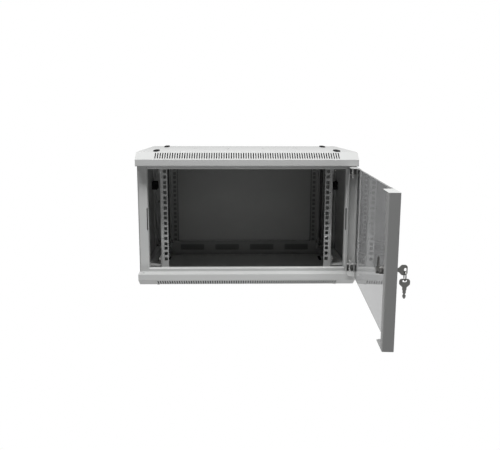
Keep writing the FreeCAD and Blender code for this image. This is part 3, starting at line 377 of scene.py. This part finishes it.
# %% Glazing tape
def foam_tape(name):
    material, graph = new_material(name)
    pore = graph.noise(scale=1800.0, detail=2.0)
    shader = graph.node("ShaderNodeBsdfPrincipled", None, {
        "Base Color": graph.tint(pore, (0.012, 0.012, 0.012), (0.03, 0.03, 0.03)),
        "Roughness": pore * 0.2 + 0.7,
        "Normal": graph.bump(pore, strength=0.4, distance=0.0001),
    })
    graph.finish(shader)
    return material


tape = foam_tape("foam_tape")

# %% [markdown]
# Each solid names its finish, so one table turns finishes into materials.

# %% Dress the solids
FINISH = {
    "grey_paint": coat,
    "black_plastic": plastic,
    "zinc_steel": zinc,
    "lock_chrome": nickel,
    "tinted_glass": glass,
    "glazing_tape": tape,
}


def dress(obj, material):
    obj.data.materials.clear()
    obj.data.materials.append(material)


# A few solids of one finish get other materials: painted shade on the hollow band and the
# interior, painted light on the hinge pins and springs, and darker nickel on the lock nut,
# cam and cam nut.
SPECIAL = {
    "roof_panel": band_coat_painted_shade, "bottom_panel": band_coat_painted_shade,
    "front_bar_top": band_coat_painted_shade, "front_bar_bottom": band_coat_painted_shade,
    "back_panel": back_coat_painted_shade,
    "side_panel_left": side_coat_painted_shade, "side_panel_right": side_coat_painted_shade,
    "rear_bar_top": bar_coat_painted_shade, "rear_bar_bottom": bar_coat_painted_shade,
    "rear_rail_left": rear_rail_coat_painted_shade, "rear_rail_right": rear_rail_coat_painted_shade,
    "cable_covers_top": cover_coat_painted_shade, "cable_covers_bottom": cover_coat_painted_shade,
    "hinge_pin_top": pin_steel_painted_light, "hinge_pin_bottom": pin_steel_painted_light,
    "pin_spring_top": pin_steel_painted_light, "pin_spring_bottom": pin_steel_painted_light,
    "lock_nut": nut_nickel, "lock_cam": nut_nickel, "cam_nut": nut_nickel,
}
slot_of = {part["node"]: part["material_slot"] for part in frame["record"]["subparts"]}
for name, obj in frame["nodes"].items():
    dress(obj, SPECIAL.get(name, FINISH[slot_of[name]]))
print("dressed", len(frame["nodes"]), "solids")

# %% [markdown]
# Beside the middle hole of each unit, the front rails carry a small printed dot. They
# could be placed one by one, but a grid with two columns and one row per unit puts all
# of them in place at once. Geometry Nodes makes the grid, stands it up, sets a low
# round dot on each of its points and turns the copies into real faces.

# %% Geometry Nodes for the unit marks
UNITS = 6
UNIT = 0.04445
MARK_X = 0.2402
RAIL_FRONT_Y = FRONT_Y + 0.0914
MARK_RADIUS = 0.0011
MARK_HEIGHT = 0.0001
MARK_RIM = 0.8
MARK_SIDES = 16
QUARTER_TURN = math.pi / 2


def start_tree(name, inputs):
    """Empty Geometry Nodes tree with these inputs, each a label and a kind of value."""
    tree = bpy.data.node_groups.new(name, "GeometryNodeTree")
    for label, kind in inputs.items():
        tree.interface.new_socket(label, in_out="INPUT", socket_type="NodeSocket" + kind)
    tree.interface.new_socket("Geometry", in_out="OUTPUT", socket_type="NodeSocketGeometry")
    graph = Graph(tree)
    given = tree.nodes.new("NodeGroupInput")
    return graph, {end.name: Wire(graph, end) for end in given.outputs if end.name}


def end_tree(graph, geometry, material):
    """Turn copies into real faces, give them their material and end the tree."""
    faces = graph.node("GeometryNodeRealizeInstances", None, {"Geometry": geometry})
    coated = graph.node("GeometryNodeSetMaterial", None, {"Geometry": faces, "Material": material})
    result = graph.tree.nodes.new("NodeGroupOutput")
    graph.tree.links.new(coated.socket, result.inputs["Geometry"])
    print(graph.tree.name, "has", len(graph.tree.nodes), "nodes")


marks, size = start_tree("unit_marks", {
    "Spacing": "Float", "Unit": "Float", "Units": "Int", "Radius": "Float", "Height": "Float"})
grid = marks.node("GeometryNodeMeshGrid", None, {
    "Size X": size["Spacing"], "Size Y": size["Unit"] * (size["Units"] - 1),
    "Vertices X": 2, "Vertices Y": size["Units"]})
standing = marks.node("GeometryNodeTransform", None, {
    "Geometry": grid, "Rotation": (QUARTER_TURN, 0, 0), "Translation": (0, RAIL_FRONT_Y, 0)})
dot = marks.node("GeometryNodeMeshCone", None, {
    "Vertices": MARK_SIDES, "Radius Bottom": size["Radius"],
    "Radius Top": size["Radius"] * MARK_RIM, "Depth": size["Height"]})
facing = marks.node("GeometryNodeTransform", None, {"Geometry": dot, "Rotation": (QUARTER_TURN, 0, 0)})
copies = marks.node("GeometryNodeInstanceOnPoints", None, {"Points": standing, "Instance": facing})
end_tree(marks, copies, plastic)

# %% Place the unit marks
def grow(name, tree, values):
    """Plain mesh object from a Geometry Nodes tree with these input values."""
    carrier = bpy.data.objects.new(name + "_carrier", bpy.data.meshes.new(name + "_carrier"))
    bpy.context.scene.collection.objects.link(carrier)
    modifier = carrier.modifiers.new(name, "NODES")
    modifier.node_group = tree
    for item in tree.interface.items_tree:
        if item.in_out == "INPUT":
            modifier[item.identifier] = values[item.name]
    shown = carrier.evaluated_get(bpy.context.evaluated_depsgraph_get())
    piece = bpy.data.objects.new(name, bpy.data.meshes.new_from_object(shown))
    bpy.data.objects.remove(carrier)
    bpy.context.scene.collection.objects.link(piece)
    return piece


unit_marks = grow("unit_marks", marks.tree, {
    "Spacing": 2 * MARK_X, "Unit": UNIT, "Units": UNITS,
    "Radius": MARK_RADIUS, "Height": MARK_HEIGHT})
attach(unit_marks, "cabinet")
print("unit marks:", len(unit_marks.data.polygons), "faces")

# %% [markdown]
# Each hinge pin is pushed outwards by a coil spring between its guide and its collar.
# A coil could be drawn turn by turn, but it is only a circle swept along a spiral, so
# the second tree needs a spiral, a circle and the sweep. It also moves the coil to the
# hinge axis, which keeps the finished piece itself at the origin.

# %% Geometry Nodes for the coil springs
HINGE_X = 0.287
HINGE_Y = -0.387
COIL_FOOT_Z = 0.12652
COIL_RISE = 0.01476
COIL_TURNS = 4.0
COIL_RADIUS = 0.004
WIRE_RADIUS = 0.0004
STEPS_PER_TURN = 24
WIRE_SIDES = 8

coil, size = start_tree("coil_spring", {
    "Turns": "Float", "Radius": "Float", "Rise": "Float", "Wire": "Float",
    "Place": "Vector", "Turn over": "Vector"})
spiral = coil.node("GeometryNodeCurveSpiral", None, {
    "Resolution": STEPS_PER_TURN, "Rotations": size["Turns"], "Start Radius": size["Radius"],
    "End Radius": size["Radius"], "Height": size["Rise"]})
wire = coil.node("GeometryNodeCurvePrimitiveCircle", None, {
    "Resolution": WIRE_SIDES, "Radius": size["Wire"]})
swept = coil.node("GeometryNodeCurveToMesh", None, {
    "Curve": spiral, "Profile Curve": wire, "Fill Caps": True})
placed = coil.node("GeometryNodeTransform", None, {
    "Geometry": swept, "Translation": size["Place"], "Rotation": size["Turn over"]})
end_tree(coil, placed, pin_steel_painted_light)

# %% Place the coil springs
HALF_TURN = math.pi
for end, side, joint, turn in (("top", 1, "upper_pin_slide", 0.0),
                               ("bottom", -1, "lower_pin_slide", HALF_TURN)):
    spring = grow("coil_spring_" + end, coil.tree, {
        "Turns": COIL_TURNS, "Radius": COIL_RADIUS, "Rise": COIL_RISE, "Wire": WIRE_RADIUS,
        "Place": (HINGE_X, HINGE_Y, side * COIL_FOOT_Z), "Turn over": (turn, 0.0, 0.0)})
    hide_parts("pin_spring_" + end)
    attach(spring, "door")
    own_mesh(spring)
    print(spring.name, len(spring.data.polygons), "faces")

# %% [markdown]
# A white room: the floor and the world look plain white to the camera, a little darker
# in mirrors, and light the cabinet only as much as a real room would.

# %% Floor and world
WHITE = (1.0, 1.0, 1.0, 1)
FLOOR_Z = -0.62
FLOOR_HALF = 6.0
FLOOR_COLOUR = (0.6, 0.6, 0.6, 1)
ROOM_LEVEL = 0.03
MIRRORED_LOSS = 0.24


def seen_directly(graph):
    """1 for what the camera, a mirror or glass shows, 0 for light that bounces."""
    direct = graph.node("ShaderNodeLightPath", output=0)
    mirror = graph.node("ShaderNodeLightPath", output=3)
    through = graph.node("ShaderNodeLightPath", output=6)
    return (direct + mirror + through) > 0.5


def white_level(graph):
    """A mirror shows the white room a little darker than the camera does."""
    return 1.0 - graph.node("ShaderNodeLightPath", output=3) * MIRRORED_LOSS


def make_floor():
    mesh = bpy.data.meshes.new("floor")
    corners = [(x * FLOOR_HALF, y * FLOOR_HALF, FLOOR_Z)
               for x, y in ((-1, -1), (1, -1), (1, 1), (-1, 1))]
    mesh.from_pydata(corners, [], [(0, 1, 2, 3)])
    floor = bpy.data.objects.new("floor", mesh)
    bpy.context.scene.collection.objects.link(floor)
    material, graph = new_material("pale_floor")
    plain = graph.node("ShaderNodeBsdfDiffuse", None, {"Color": FLOOR_COLOUR})
    white = graph.node("ShaderNodeEmission", None, {"Color": WHITE, "Strength": white_level(graph)})
    mixed = graph.node("ShaderNodeMixShader", None, {0: seen_directly(graph), 1: plain, 2: white})
    graph.finish(mixed)
    mesh.materials.append(material)


def make_world():
    world = bpy.data.worlds.new("room")
    world.use_nodes = True
    bpy.context.scene.world = world
    graph = Graph(world.node_tree)
    room = graph.node("ShaderNodeBackground", None, {"Color": WHITE, "Strength": ROOM_LEVEL})
    white = graph.node("ShaderNodeBackground", None, {"Color": WHITE, "Strength": white_level(graph)})
    mixed = graph.node("ShaderNodeMixShader", None, {0: seen_directly(graph), 1: room, 2: white})
    graph.finish(mixed, "ShaderNodeOutputWorld")


make_floor()
make_world()

# %% [markdown]
# One wide lamp hangs high above and in front of the cabinet. A faint one lies low and
# close to the bottom band, and stands for the light that a pale table throws back. It
# is hidden from the camera, mirrors and glass, where its outline would show as a bright
# patch on the door.

# %% Lamps
def lamp(name, place, target, size, watts):
    data = bpy.data.lights.new(name, "AREA")
    data.shape = "RECTANGLE"
    data.size, data.size_y = size
    data.energy = watts
    obj = bpy.data.objects.new(name, data)
    aim = (Vector(target) - Vector(place)).to_track_quat("-Z", "Y")
    obj.matrix_world = Matrix.Translation(place) @ aim.to_matrix().to_4x4()
    bpy.context.scene.collection.objects.link(obj)
    return obj


lamp("overhead", place=(0.0, -1.1, 1.9), target=(0.0, -0.4, 0.0), size=(2.2, 0.52), watts=66)
table_lamp = lamp("table", place=(0.0, -0.6, -0.3), target=(0.0, -0.4, -0.175),
                  size=(0.9, 0.08), watts=0.38)
table_lamp.visible_camera = False
table_lamp.visible_glossy = False
table_lamp.visible_transmission = False

# %% Finish
bpy.context.scene.view_settings.view_transform = "Standard"
